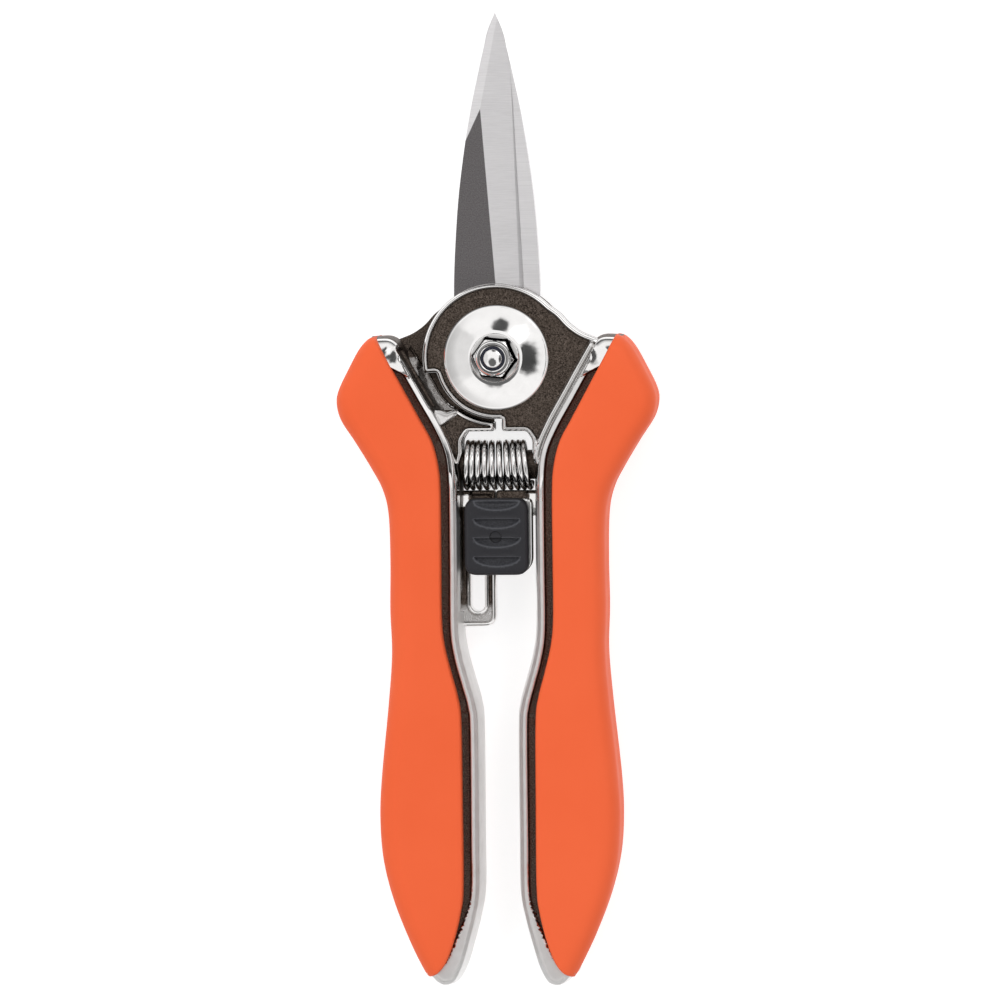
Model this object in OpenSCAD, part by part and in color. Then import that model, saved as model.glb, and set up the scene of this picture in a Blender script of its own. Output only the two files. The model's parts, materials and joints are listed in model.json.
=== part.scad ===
// Floral snips: two crossed die-cast handles with soft grips, two ground steel blades, a domed
// pivot washer with a flanged lock nut, a coil spring between the handles and a thumb catch.
// All shapes are drawn about the pivot axis, with z = 0 on the plane where the blades meet,
// and place() then moves them so that the tool lies on its grips with its middle over the origin.

/* [Overall] */
// Distance from the pivot axis to the blade tips
blade_reach = 56; // [54:0.5:58]
// Distance from the pivot axis to the butt of the handles
handle_reach = 102.8; // [101:0.2:105]
// Thickness of the grips from front to back
grip_depth = 16; // [15.4:0.1:17]

/* [Blades] */
// Thickness of each blade
blade_t = 2; // [1.8:0.05:2.1]
// Slope of the main ground bevel, in degrees
bevel_angle = 19.3; // [17:0.1:20]
// Slope of the narrow cutting bevel, in degrees
edge_angle = 45; // [40:1:55]

/* [Pivot] */
// Radius of the round head of each casting
head_r = 12; // [11.8:0.05:12.1]
// Radius of the domed washer
washer_r = 8.6; // [8:0.1:9]
// Height of the domed washer
washer_h = 2.6; // [2.2:0.1:3]
// Nominal thread diameter of the pivot bolt
bolt_d = 3; // [2.8:0.1:3.1]
// Hexagon width across flats of the lock nut
nut_af = 5.5; // [5.5:0.1:6]
// Outer diameter of the bearing bush
bush_d = 6; // [5.6:0.1:6.4]

/* [Handles] */
// Thickness of the casting along its rim
rim_depth = 13.6; // [13:0.1:14]
// Thickness of the casting where the grip covers it
core_depth = 8.4; // [7:0.1:9]
// Height of the head's recessed face above the blade plane
face_z = 4; // [3.8:0.05:4.2]
// Height of the raised rim round the recessed face
rim_h = 0.6; // [0.4:0.05:0.8]
// Width of that rim
rim_w = 0.8; // [0.6:0.05:1]

/* [Spring] */
// Wire diameter of the return spring
wire_d = 0.95; // [0.8:0.05:1]
// Number of turns of the return spring
spring_turns = 9.6; // [8:0.1:10]
// Outer diameter of the return spring
spring_d = 8.4; // [8:0.1:8.6]

/* [Catch] */
// Thickness of the slotted bracket that the catch slides on
bracket_t = 3; // [2.6:0.1:3.2]
// Width of the slot in that bracket
slot_w = 2.2; // [2.1:0.1:2.4]
// Height of the thumb button above its plate
button_h = 3.4; // [3:0.1:3.8]

/* [Hidden] */

$fn = 64;
eps = 0.01;
half_gap = 0.03;            // half of the running gap between the two blades
fit_gap = 0.05;             // radial running clearance of the front casting on the bush
rim_z = rim_depth / 2;
core_z = core_depth / 2;
grip_z = grip_depth / 2;
pivot_y = (handle_reach - blade_reach) / 2;

chrome = [0.78, 0.78, 0.79];
steel = [0.66, 0.66, 0.68];
orange = [0.95, 0.43, 0.26];
black = [0.13, 0.13, 0.15];

// ---------- curves ----------

// One point of the smooth curve that passes through b and c, with a and d beyond them
function blend4(a, b, c, d, t) =
    0.5 * (2 * b + (c - a) * t + (2 * a - 5 * b + 4 * c - d) * t * t
        + (3 * b - a - 3 * c + d) * t * t * t);

// Smooth open curve through the points p, with n steps between neighbours
function open_curve(p, n = 4) = concat(
    [for (i = [0 : len(p) - 2], k = [0 : n - 1])
        blend4(p[max(i - 1, 0)], p[i], p[i + 1], p[min(i + 2, len(p) - 1)], k / n)],
    [p[len(p) - 1]]);

// Smooth closed curve through the points p
function closed_curve(p, n = 4) = [for (i = [0 : len(p) - 1], k = [0 : n - 1])
    blend4(p[(i + len(p) - 1) % len(p)], p[i], p[(i + 1) % len(p)], p[(i + 2) % len(p)], k / n)];

function reversed(p) = [for (i = [len(p) - 1 : -1 : 0]) p[i]];
function polar(r, a) = [r * cos(a), r * sin(a)];

// The curve p moved sideways by d, to the left of its own direction
function sidestep(p, d) = [for (i = [0 : len(p) - 1])
    let (t = p[min(i + 1, len(p) - 1)] - p[max(i - 1, 0)]) p[i] + d * [-t[1], t[0]] / norm(t)];

// Below the shoulder the handles stretch with handle_reach
function stretched(p) = [for (q = p) [q[0], q[1] * handle_reach / 102.8]];

// ---------- outlines of the right handle ----------

// Outer side of the grip, from the shoulder down to the butt
grip_side = stretched([[19.6, 3.6], [20.8, 3.1], [22.3, 1.4], [24.1, -1.9], [25.6, -5.0], [26.0, -7.2],
    [25.3, -10.0], [23.0, -13.6], [20.4, -17.9], [18.6, -21.4], [17.7, -25.5], [17.5, -33], [17.6, -41],
    [17.4, -48], [18.0, -56], [19.3, -68.5], [19.6, -75.5], [19.1, -82], [17.5, -88.5], [15.0, -95],
    [12.9, -99.4], [11.9, -101]]);
// Edge of the grip on the faces, from the shoulder down to the butt
grip_edge = stretched([[19.6, 3.6], [17.6, -0.2], [15.0, -5.0], [12.3, -10.0], [10.4, -13.6], [9.4, -17.6],
    [9.1, -22], [9.1, -32], [9.1, -42], [8.7, -46.5], [7.7, -50.8], [6.6, -55], [6.1, -59], [6.0, -72],
    [6.0, -86], [6.5, -90.5], [7.6, -95], [8.9, -98.4], [10.3, -100.2], [11.9, -101]]);
// Inner wall of the casting, from the butt up to the shoulder
inner_wall = stretched([
    [11.9, -101], [10.7, -102.2], [9.2, -102.8], [7.3, -102.1], [5.9, -99.6], [4.9, -96.4],
    [3.6, -91.4], [2.9, -87], [2.85, -78], [2.85, -60.5], [3.2, -56.4], [4.2, -52.6], [5.3, -48.5],
    [5.9, -44], [5.9, -34], [5.9, -24], [6.0, -18.5], [6.6, -14.6], [8.3, -10.6], [11.0, -5.8],
    [13.4, -1.5], [15.4, 2.0], [16.2, 3.0], [17.5, 3.6], [19.6, 3.6]]);
// The tongue of the casting inside the grip
tongue = stretched([[12.4, -6.4], [17.0, 0.0], [19.6, 1.2], [21.8, -1.8], [23.4, -6.6], [21.0, -12.6],
    [17.0, -19.5], [15.3, -26], [15.1, -48], [16.6, -66], [17.1, -76], [15.4, -86.5], [12.2, -95.2],
    [10.3, -97.8], [8.6, -96.0], [7.0, -88], [5.4, -82], [5.2, -64], [7.6, -50], [8.2, -38], [8.2, -24],
    [9.2, -15]]);

band_depth = 0.9;           // how far the band beside the grip lies below the rim
band_w = 1.3;               // width of that band

module grip_area() polygon(concat(open_curve(grip_side), reversed(open_curve(grip_edge))));
module strip_area() polygon(concat(open_curve(inner_wall), open_curve(grip_edge)));
module rim_area() {
    band_line = sidestep(open_curve(grip_edge), -band_w);
    polygon(concat(open_curve(inner_wall), [for (i = [4 : len(band_line) - 5]) band_line[i]]));
}

// Round head and the neck that joins it to the right handle, seen from its own side
step_r = 10;                // radius of the head where it is relieved for the other casting
lobe_end = 192;             // angle where the full radius of the head ends
window_y = -12;             // upper edge of the spring window
window_x = 5.75;            // side of the spring window
step_x = 0.8;               // side of the step under the pivot
neck_top = [[8.5, 8.45], [10.3, 7.1], [12.0, 5.3], [13.9, 3.95], [16.2, 3.0]];

// Outline of the head and neck, or with g above zero the same outline g inside it
module head_area(g = 0) {
    difference() {
        circle(r = head_r - g);
        polygon([[0, 0], polar(30, lobe_end - 5 * g), polar(40, 225), [step_x + g, -30], [step_x + g, 0]]);
    }
    circle(r = step_r - g);
    polygon(concat([[0, 0], [step_x + g, -5], [step_x + g, window_y + g], [window_x - 1.6, window_y + g],
        [window_x - 0.5, window_y - 0.5 + g], [window_x + g, window_y - 1.6], [window_x + g, -15.5],
        [6.4 + g, -17.5], [7.8, -17.5], [17 - g, 1]],
        [for (q = reversed(open_curve(neck_top))) q - g * [0.6, 0.8]]));
}

// ---------- the castings ----------

// Slab from z0 to z1 of the flat shape drawn by the children
module slab(z0, z1) translate([0, 0, z0]) linear_extrude(z1 - z0) children();

// Handle strip with its sunk band beside the grip, and the tongue that the grip is moulded round
module handle_bar() {
    slab(-rim_z + band_depth, rim_z - band_depth) strip_area();
    for (side = [0, 1]) mirror([0, 0, side]) slab(rim_z - band_depth - eps, rim_z) rim_area();
    slab(-core_z, core_z) polygon(closed_curve(tongue));
}

// Head of the casting with its recessed face, raised rim, bush bore and pocket for the blade's tang
module casting_head() {
    difference() {
        slab(half_gap, face_z + rim_h) head_area();
        slab(face_z, face_z + 2) head_area(rim_w);
        slab(0, blade_t) blade_area();
        for (p = dowel_places) translate([p[0], p[1], 0]) cylinder(r = dowel_r, h = dowel_top);
        cylinder(r = bush_d / 2 + fit_gap, h = 3 * face_z, center = true);
    }
}

// Block beside the other casting's head: its upper side is the arc that the head swings past
guard_r = 10.6;             // radius of the wall that faces the other head
guard_from = 228;           // angle where that wall starts
guard_end_x = -0.45;        // end of the wall under the pivot

module guard_area() difference() {
    polygon([[-11.6, -7.4], polar(9, guard_from), [guard_end_x, -9], [guard_end_x, window_y],
        [1.6 - window_x, window_y], [0.5 - window_x, window_y - 0.5], [-window_x, window_y - 1.6],
        [-window_x, -17.5], [-7.4, -17.5], [-9.4, -12]]);
    circle(r = guard_r);
    polygon([[0, 0], polar(40, guard_from), polar(40, 180)]);
}

module guard() slab(-eps, face_z + rim_h) guard_area();

// Ledge on the inner side of the handle that faces the other casting's head
module ledge_area() difference() {
    polygon([[-16.0, 2.2], [-14.4, 2.2], [-7.4, -9.9], [-7.4, -14], [-12.6, -5]]);
    circle(r = head_r + 0.35);
}

// Round peg that the end of the spring sits on
spring_y = -17.6;           // the spring's axis crosses the tool here
peg_r = 2.4;

module spring_peg() translate([window_x - 2.1, spring_y, 0]) rotate([0, 90, 0])
    cylinder(r = peg_r, h = 3.2);

module right_casting() {
    handle_bar();
    casting_head();
    spring_peg();
    mirror([1, 0, 0]) mirror([0, 0, 1]) {
        guard();
        slab(-eps, 2) ledge_area();
    }
    catch_lug();
}

module left_casting() {
    mirror([1, 0, 0]) {
        handle_bar();
        spring_peg();
    }
    mirror([1, 0, 0]) mirror([0, 0, 1]) casting_head();
    guard();
    slab(-eps, 2) ledge_area();
    catch_bracket();
}

// ---------- the catch ----------

slot_x = -3.6;              // the slot runs down this line of the left bracket
slot_top = -25.6;
slot_end = -41.5;
bracket_edge = -0.7;        // free edge of the bracket
bracket_top = -22.2;
bracket_end = -44;
bracket_corner = 1.8;
lug_top = -22.2;
lug_t = 2.6;
lug_arm = 1.5;              // width of the lug's arm along the tool
prong = [1.4, 2.9, -25.5];  // left side, right side and lower end of the lug's prong
finger = [3.2, 4.8, -25.7]; // left side, right side and upper end of the catch plate's finger
button_x = [-5.15, 5.15];
button_y = [-35.3, -22.9];
button_corner = 1.8;
plate_t = 1.7;
rivet_r = 1.05;
rivet_y = -28.1;
back_button = [-5.6, -1.6, -33.4, -23.4];
back_t = 1.6;

module rounded_area(x0, x1, y0, y1, r) hull() for (x = [x0 + r, x1 - r], y = [y0 + r, y1 - r])
    translate([x, y]) circle(r = r, $fn = 32);

module catch_bracket() slab(-bracket_t / 2, bracket_t / 2) difference() {
    union() {
        translate([-7, bracket_end + bracket_corner])
            square([bracket_edge + 7, bracket_top - bracket_end - bracket_corner]);
        translate([-7, bracket_end]) square([bracket_edge + 7 - bracket_corner, 4]);
        translate([bracket_edge - bracket_corner, bracket_end + bracket_corner]) circle(r = bracket_corner);
    }
    for (y = [slot_top - slot_w / 2, slot_end + slot_w / 2]) translate([slot_x, y]) circle(r = slot_w / 2);
    translate([slot_x - slot_w / 2, slot_end + slot_w / 2])
        square([slot_w, slot_top - slot_end - slot_w]);
}

module catch_lug() slab(-lug_t / 2, lug_t / 2) {
    translate([bracket_edge + 0.3, lug_top - lug_arm]) square([7 - bracket_edge, lug_arm]);
    translate([prong[0], prong[2]]) square([prong[1] - prong[0], lug_top - prong[2]]);
    translate([5.1, -26]) square([2, lug_top + 26]);
}

module catch_plate() color(chrome) {
    slab(bracket_t / 2 + 0.05, bracket_t / 2 + plate_t) difference() {
        rounded_area(button_x[0] + 0.1, button_x[1] + 0.45,
            button_y[0] + 0.1, button_y[1] - 0.1, button_corner);
        translate([slot_x, rivet_y]) circle(r = rivet_r);
    }
    slab(-bracket_t / 2 + 0.1, bracket_t / 2 + 0.05)
        translate([finger[0], -33]) square([finger[1] - finger[0], finger[2] + 33]);
}

// Button with three thumb ribs across it
module catch_button() color(black) difference() {
    union() {
        slab(bracket_t / 2 + plate_t, bracket_t / 2 + plate_t + button_h - 0.8)
            rounded_area(button_x[0], button_x[1], button_y[0], button_y[1], button_corner);
        slab(bracket_t / 2 + plate_t, bracket_t / 2 + plate_t + button_h)
            rounded_area(button_x[0] + 0.6, button_x[1] - 0.6, button_y[0] + 0.6, button_y[1] - 0.6,
                button_corner - 0.6);
    }
    for (i = [-1.5 : 1 : 1.5])
        translate([0, (button_y[0] + button_y[1]) / 2 + 3 * i, bracket_t / 2 + plate_t + button_h + 1.4])
            rotate([0, 90, 0]) cylinder(r = 1.8, h = 7.4, center = true);
    translate([slot_x, rivet_y, 0]) cylinder(r = 1.7, h = bracket_t / 2 + plate_t + 0.6);
}

// Rivet through the slot: its two heads hold the plate and the back button together
module catch_rivet() color(steel) translate([slot_x, rivet_y, 0]) {
    slab(-bracket_t / 2 - back_t, bracket_t / 2 + plate_t) circle(r = rivet_r);
    slab(bracket_t / 2 + plate_t, bracket_t / 2 + plate_t + 0.6) circle(r = 1.7);
    slab(-bracket_t / 2 - back_t - 0.6, -bracket_t / 2 - back_t) circle(r = 1.7);
}

module catch_spring_washer() color(steel) translate([slot_x, rivet_y, 0])
    slab(-bracket_t / 2 - 0.35, -bracket_t / 2 - 0.05) difference() {
        circle(r = 2.2);
        circle(r = rivet_r + 0.05);
    }

module catch_back_button() color(black) slab(-bracket_t / 2 - back_t, -bracket_t / 2 - 0.35) difference() {
    rounded_area(back_button[0], back_button[1], back_button[2], back_button[3], 1.4);
    translate([slot_x, rivet_y]) circle(r = rivet_r);
}

// ---------- the grips ----------

// The grip wraps the tongue, and its long edges are rounded in three layers
module grip() color(orange) difference() {
    union() {
        slab(-grip_z + 1.7, grip_z - 1.7) grip_area();
        slab(-grip_z + 0.7, grip_z - 0.7) offset(delta = -0.6) grip_area();
        slab(-grip_z, grip_z) offset(delta = -1.7) grip_area();
    }
    slab(-core_z, core_z) polygon(closed_curve(tongue));
}

// ---------- the blades ----------

// Spine of the front blade from the head to the tip, and its cutting edge back to the head
tip = [0, blade_reach];
spine = [
    [-6.95, 8], [-6.9, 13], [-6.6, 19], [-6.1, 25.5], [-5.3, 32], [-4.2, 39], [-3.0, 45], [-1.5, 51.6], tip];
edge = [tip, [1.5, 52.2], [2.25, 47], [2.9, 40], [3.7, 26], [4.3, 12]];
tang_r = 7;
ridge_from = [-0.1, 11];    // the ridge between the flat and the main bevel
ridge_to = [-2.4, 40.3];
false_edge_at = [-5.0, 34.8];
dowel_places = [[-4.9, 3.6], [4.6, 4.0]];
dowel_r = 0.8;
dowel_top = 3.2;

module blade_area()
    polygon(concat(open_curve(spine), open_curve(edge), [for (a = [24 : -6 : -204]) polar(tang_r, a)]));

// Everything above the plane through point p with normal n
module above_plane(p, n) translate(p) rotate([0, acos(n[2] / norm(n)), atan2(n[1], n[0])])
    translate([-60, -60, 0]) cube([120, 120, 40]);

module blade() {
    along = (ridge_to - ridge_from) / norm(ridge_to - ridge_from);
    edge_along = ([2.9, 40] - [4.3, 12]) / norm([2.9, 40] - [4.3, 12]);
    false_to = cross([false_edge_at[0], false_edge_at[1], blade_t] - [ridge_to[0], ridge_to[1], blade_t],
        [tip[0], tip[1], 0.35] - [ridge_to[0], ridge_to[1], blade_t]);
    difference() {
        slab(half_gap, blade_t) blade_area();
        intersection() {
            above_plane([ridge_from[0], ridge_from[1], blade_t],
                [-along[1] * -sin(bevel_angle), along[0] * -sin(bevel_angle), cos(bevel_angle)]);
            translate([-20, 11, -1]) cube([40, 60, 10]);
        }
        intersection() {
            above_plane([4.27, 12, half_gap],
                [-edge_along[1] * -sin(edge_angle), edge_along[0] * -sin(edge_angle), cos(edge_angle)]);
            translate([-20, 11, -1]) cube([40, 60, 10]);
        }
        above_plane([ridge_to[0], ridge_to[1], blade_t], -false_to);
        cylinder(r = bush_d / 2 + fit_gap, h = 20, center = true);
        for (p = dowel_places) translate([p[0], p[1], -1]) cylinder(r = dowel_r, h = 8);
    }
}

module dowels() for (p = dowel_places)
    translate([p[0], p[1], half_gap]) cylinder(r = dowel_r, h = dowel_top - half_gap);

// ---------- the pivot ----------

bolt_r = bolt_d / 2;
washer_z = face_z + 0.05;
nut_z = washer_z + washer_h;
flange_r = 4;
flange_t = 0.9;
hex_h = 2.7;
collar_h = 0.9;
bolt_head_r = 7.4;
bolt_head_h = 2.5;

// Bolt with a shallow domed head behind the back casting
module pivot_bolt() color(chrome) {
    slab(-face_z - 0.5, nut_z + flange_t + hex_h + collar_h + 0.2) circle(r = bolt_r);
    translate([0, 0, nut_z + flange_t + hex_h + collar_h + 0.2 - eps])
        cylinder(r1 = bolt_r, r2 = bolt_r - 0.4, h = 0.4);
    translate([0, 0, -face_z]) rotate([180, 0, 0]) rotate_extrude($fn = 96)
        polygon(concat([[0, 0], [bolt_head_r, 0], [bolt_head_r, 0.5]],
            [for (a = [6 : 6 : 90]) [bolt_head_r * cos(a), 0.5 + (bolt_head_h - 0.5) * sin(a)]]));
}

// Bearing bush between the bolt head and the washer, which both castings and blades turn on
module pivot_bush() color(steel) slab(-face_z, washer_z) difference() {
    circle(r = bush_d / 2);
    circle(r = bolt_r);
}

// Domed washer: a thin outer lip that rises to a flat seat for the nut
module pivot_washer() color(chrome) translate([0, 0, washer_z]) rotate_extrude($fn = 96)
    polygon(concat([[bolt_r, 0], [washer_r - 0.2, 0], [washer_r, 0.2], [washer_r, 0.6]],
        [for (i = [1 : 8]) let (t = i / 8, r = washer_r + (flange_r + 0.3 - washer_r) * t)
            [r, 0.6 + (washer_h - 0.6) * (1 - (1 - t) * (1 - t) * 0.35 - (1 - t) * 0.65)]],
        [[bolt_r, washer_h]]));

module pivot_nut() color(chrome) translate([0, 0, nut_z]) difference() {
    union() {
        cylinder(r1 = flange_r, r2 = flange_r - 0.5, h = flange_t);
        slab(0, flange_t + hex_h) rotate(-5) circle(d = nut_af / cos(30), $fn = 6);
        slab(0, flange_t + hex_h + collar_h) circle(r = 2.55);
    }
    cylinder(r = bolt_r, h = 20, center = true);
    slab(flange_t + hex_h - 0.6, 20) circle(r = 2.1);
}

module nut_insert() color([0.14, 0.16, 0.24])
    translate([0, 0, nut_z]) slab(flange_t + hex_h - 0.6, flange_t + hex_h + collar_h - 0.2) difference() {
        circle(r = 2.1);
        circle(r = bolt_r);
    }

// ---------- the spring ----------

spring_half = 5.55;         // half of the fitted length of the spring
spring_fan = 7;             // lean of its end turns, in degrees
turn_steps = 16;
wire_sides = 6;

// Point on the wire's centre line at angle a; the turns lean apart below the spring's axis
function wire_centre(a) =
    let (s = a / (360 * spring_turns) * 2 - 1, lean = spring_fan * s,
        r = (spring_d - wire_d) / 2, x = s * (spring_half - wire_d / 2), u = r * cos(a), v = r * sin(a))
    [x - u * sin(lean) * 0.9, spring_y + u * cos(lean), v];

module return_spring() color(steel) {
    n = round(spring_turns * turn_steps);
    rings = [for (i = [0 : n]) let (a = 360 * spring_turns * i / n,
            c = wire_centre(a), d = wire_centre(a + 1) - wire_centre(a - 1), t = d / norm(d),
            side = cross(t, [1, 0, 0]) / norm(cross(t, [1, 0, 0])), up = cross(side, t))
        for (k = [0 : wire_sides - 1]) c + wire_d / 2 * (cos(k * 60) * side + sin(k * 60) * up)];
    polyhedron(rings, concat(
        [[for (k = [wire_sides - 1 : -1 : 0]) k], [for (k = [0 : wire_sides - 1]) n * wire_sides + k]],
        [for (i = [0 : n - 1], k = [0 : wire_sides - 1]) let (q = (k + 1) % wire_sides)
            [i * wire_sides + k, i * wire_sides + q, (i + 1) * wire_sides + q, (i + 1) * wire_sides + k]]));
}

// ---------- assembly ----------

module place() translate([0, pivot_y, grip_z]) children();

module front_blade() color(steel) blade();
module rear_blade() color(steel) rotate([0, 180, 0]) blade();

place() color(chrome) left_casting();  // left_handle
place() color(chrome) right_casting();  // right_handle
place() mirror([1, 0, 0]) grip();  // left_grip
place() grip();  // right_grip
place() front_blade();
place() rear_blade();
place() color(steel) dowels();  // front_blade_dowels
place() color(steel) rotate([0, 180, 0]) dowels();  // rear_blade_dowels
place() pivot_bolt();
place() pivot_bush();
place() pivot_washer();
place() pivot_nut();
place() nut_insert();
place() return_spring();
place() catch_plate();
place() catch_button();
place() catch_rivet();
place() catch_spring_washer();
place() catch_back_button();
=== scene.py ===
"""Floral snips: the visible model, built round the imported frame.

Shapes are worked out in millimetres from the pivot axis, with z = 0 where the two blades meet and
+Y towards the tips; at() turns them into the frame's metres. A plate is a flat outline whose two faces
rise and fall with the distance from chosen edges, a lathe is a profile turned round an axis, and a tube
is a circle carried along a path.
"""
import json
import math

import bpy
import numpy as np
from mathutils import Matrix, Vector
from mathutils.geometry import delaunay_2d_cdt


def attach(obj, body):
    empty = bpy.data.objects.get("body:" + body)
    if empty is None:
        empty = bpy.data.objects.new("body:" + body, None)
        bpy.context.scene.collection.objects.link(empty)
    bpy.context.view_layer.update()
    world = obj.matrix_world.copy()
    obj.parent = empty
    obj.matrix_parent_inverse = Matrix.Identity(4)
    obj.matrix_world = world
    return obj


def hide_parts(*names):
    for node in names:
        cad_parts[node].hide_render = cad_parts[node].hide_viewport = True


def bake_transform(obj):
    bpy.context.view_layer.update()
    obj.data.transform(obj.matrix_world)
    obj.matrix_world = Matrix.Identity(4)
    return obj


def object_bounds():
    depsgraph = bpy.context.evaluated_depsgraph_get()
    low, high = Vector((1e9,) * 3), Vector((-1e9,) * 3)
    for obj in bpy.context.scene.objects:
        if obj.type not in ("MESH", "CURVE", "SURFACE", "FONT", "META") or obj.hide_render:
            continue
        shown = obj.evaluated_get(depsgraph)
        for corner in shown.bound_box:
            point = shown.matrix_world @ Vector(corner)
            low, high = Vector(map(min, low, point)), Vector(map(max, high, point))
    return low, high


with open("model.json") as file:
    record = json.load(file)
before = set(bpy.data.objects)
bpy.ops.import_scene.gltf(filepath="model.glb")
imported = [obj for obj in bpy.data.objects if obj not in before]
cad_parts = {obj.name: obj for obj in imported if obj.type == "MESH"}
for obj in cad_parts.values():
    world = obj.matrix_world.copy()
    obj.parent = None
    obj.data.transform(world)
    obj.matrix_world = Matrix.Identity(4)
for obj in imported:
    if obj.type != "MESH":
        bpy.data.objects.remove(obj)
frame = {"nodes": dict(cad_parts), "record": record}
cad_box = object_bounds()

PIVOT = 1000 * np.array(frame["record"]["behaviour"]["joints"][0]["pos_m"])  # in mm

# ---------------------------------------------------------------- sizes, in mm

BAND_Z = 5.85        # the sunk band beside the grip
HEAD_R = 12.0        # full radius of a head
STEP_R = 10.0        # radius where the head makes room for the other casting's guard
HEAD_FACE_Z = 4.0    # the head's sunk face
INNER_Z = 0.3        # a head's inner side, just clear of the blade plane
WINDOW_X = 5.75      # side of the spring window
WINDOW_Y = -12.0     # top of the spring window
GUARD_R = 10.6       # the guard's wall round the other head
GRIP_Z = 8.0         # the grip's faces
SPRING_Y = -17.6     # the spring's axis
WALL_DRAFT = 0.36    # how far the handle's inner wall stands out at half height
ARM_TOP_Y = -21.8    # edge of the catch's two arms, beside the spring
ARM_X = -0.6         # end of the left casting's arm; the right one's starts just beyond it
WASHER_Z = 4.05      # the domed washer's seat on the head
WASHER_H = 2.6       # its height
NUT_Z = WASHER_Z + WASHER_H
RING_TOP_Z = NUT_Z + 4.5   # top of the nut's collar, where the locking ring ends
BUTTON_GATE = (-0.2, -29.1)   # the moulding mark in the middle of the thumb button
MM = 0.001           # one millimetre in metres
BATCH = 4000         # points measured at a time, to spare memory


# ---------------------------------------------------------------- curves

def at(points):
    """Points in mm from the pivot, as metres in the frame and never outside the tool's box."""
    return np.clip((np.asarray(points, float) + PIVOT) * MM, cad_box[0], cad_box[1])


def smooth(points, step=0.4):
    """Catmull-Rom curve through the points, then walked at even steps.

    Between b and c, with a before and d after them, it is half of
    2b + (c - a)t + (2a - 5b + 4c - d)t^2 + (3b - a - 3c + d)t^3.
    """
    p = np.array(points, float)
    q = np.vstack([2 * p[0] - p[1], p, 2 * p[-1] - p[-2]])
    t = np.linspace(0, 1, 24, endpoint=False)[:, None, None]
    a, b, c, d = q[:-3], q[1:-2], q[2:-1], q[3:]
    curve = 0.5 * (2 * b + (c - a) * t + (2 * a - 5 * b + 4 * c - d) * t**2
                   + (3 * b - a - 3 * c + d) * t**3)
    curve = curve.transpose(1, 0, 2).reshape(-1, p.shape[1])
    return walk(np.vstack([curve, p[-1:]]), step)


def walk(line, step=0.4, closed=False):
    """The same polyline with its points an even step apart."""
    length = np.r_[0, np.cumsum(np.linalg.norm(np.diff(line, axis=0), axis=1))]
    n = max(2, int(round(length[-1] / step)))
    s = np.linspace(0, length[-1], n + 1)
    out = np.column_stack([np.interp(s, length, line[:, k]) for k in range(line.shape[1])])
    return out[:-1] if closed else out


def arc(radius, start, end, centre=(0.0, 0.0)):
    """Points about 3 degrees apart on a circle, from one angle to the other."""
    a = np.radians(np.linspace(start, end, max(2, int(abs(end - start) / 3) + 1)))
    return [(centre[0] + radius * math.cos(x), centre[1] + radius * math.sin(x)) for x in a]


def eased(corners, radius, closed=False, step=0.4):
    """The polyline through the corners, each of them eased by a short parabola.

    The parabola starts and ends one radius from the corner, or 0.45 of the shorter side.
    """
    p = np.array(corners, float)
    n = len(p)
    out = []
    for i in range(n):
        if not closed and i in (0, n - 1):
            out.append(p[i:i + 1])
            continue
        u, v = p[i - 1] - p[i], p[(i + 1) % n] - p[i]
        lu, lv = np.linalg.norm(u), np.linalg.norm(v)
        r = min(radius, 0.45 * lu, 0.45 * lv)
        t = np.linspace(0, 1, 7)[:, None]
        start, end = p[i] + u * r / lu, p[i] + v * r / lv
        out.append((1 - t)**2 * start + 2 * t * (1 - t) * p[i] + t**2 * end)
    line = np.vstack(out)
    return walk(np.vstack([line, line[:1]]) if closed else line, step, closed)


def normals_of(line, closed=False):
    """Unit normals to the left of a polyline's direction."""
    if closed:
        t = np.roll(line, -1, 0) - np.roll(line, 1, 0)
    else:
        t = np.gradient(line, axis=0)
    t = t / np.maximum(np.linalg.norm(t, axis=1, keepdims=True), 1e-9)
    return np.column_stack([-t[:, 1], t[:, 0]])


def distance(points, line, closed=False):
    """Distance from each point to the nearest place on a polyline."""
    a, b = (line, np.roll(line, -1, 0)) if closed else (line[:-1], line[1:])
    best = np.zeros(len(points))
    ab = b - a
    squared = np.maximum((ab**2).sum(1), 1e-12)
    for i in range(0, len(points), BATCH):
        p = points[i:i + BATCH, None, :]
        t = np.clip(((p - a) * ab).sum(2) / squared, 0, 1)
        best[i:i + BATCH] = np.sqrt(((a + t[..., None] * ab - p)**2).sum(2)).min(1)
    return best


def inside(points, loop):
    """Which points lie inside a closed loop: a ray to the right crosses it an odd number of times."""
    x, y = points[:, 0:1], points[:, 1:2]
    a, b = loop, np.roll(loop, -1, 0)
    odd = np.zeros(len(points), bool)
    for i in range(0, len(points), BATCH):
        xs, ys = x[i:i + BATCH], y[i:i + BATCH]
        spans = (a[:, 1] > ys) != (b[:, 1] > ys)
        with np.errstate(divide="ignore", invalid="ignore"):
            cross = a[:, 0] + (ys - a[:, 1]) * (b[:, 0] - a[:, 0]) / (b[:, 1] - a[:, 1])
        odd[i:i + BATCH] = (spans & (xs < cross)).sum(1) % 2 == 1
    return odd


def step_up(x, low, high):
    """Rises smoothly from 0 at low to 1 at high."""
    t = np.clip((x - low) / (high - low), 0, 1)
    return t * t * (3 - 2 * t)


def rounding(d, radius):
    """Drop of a quarter-round edge, at distance d in from it."""
    return radius - np.sqrt(np.maximum(radius**2 - (radius - np.minimum(d, radius))**2, 0))


def field(x0, x1, y0, y1, step):
    """Points on a square grid."""
    x, y = np.meshgrid(np.arange(x0, x1, step), np.arange(y0, y1, step))
    return np.column_stack([x.ravel(), y.ravel()])


# ---------------------------------------------------------------- shells

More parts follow.
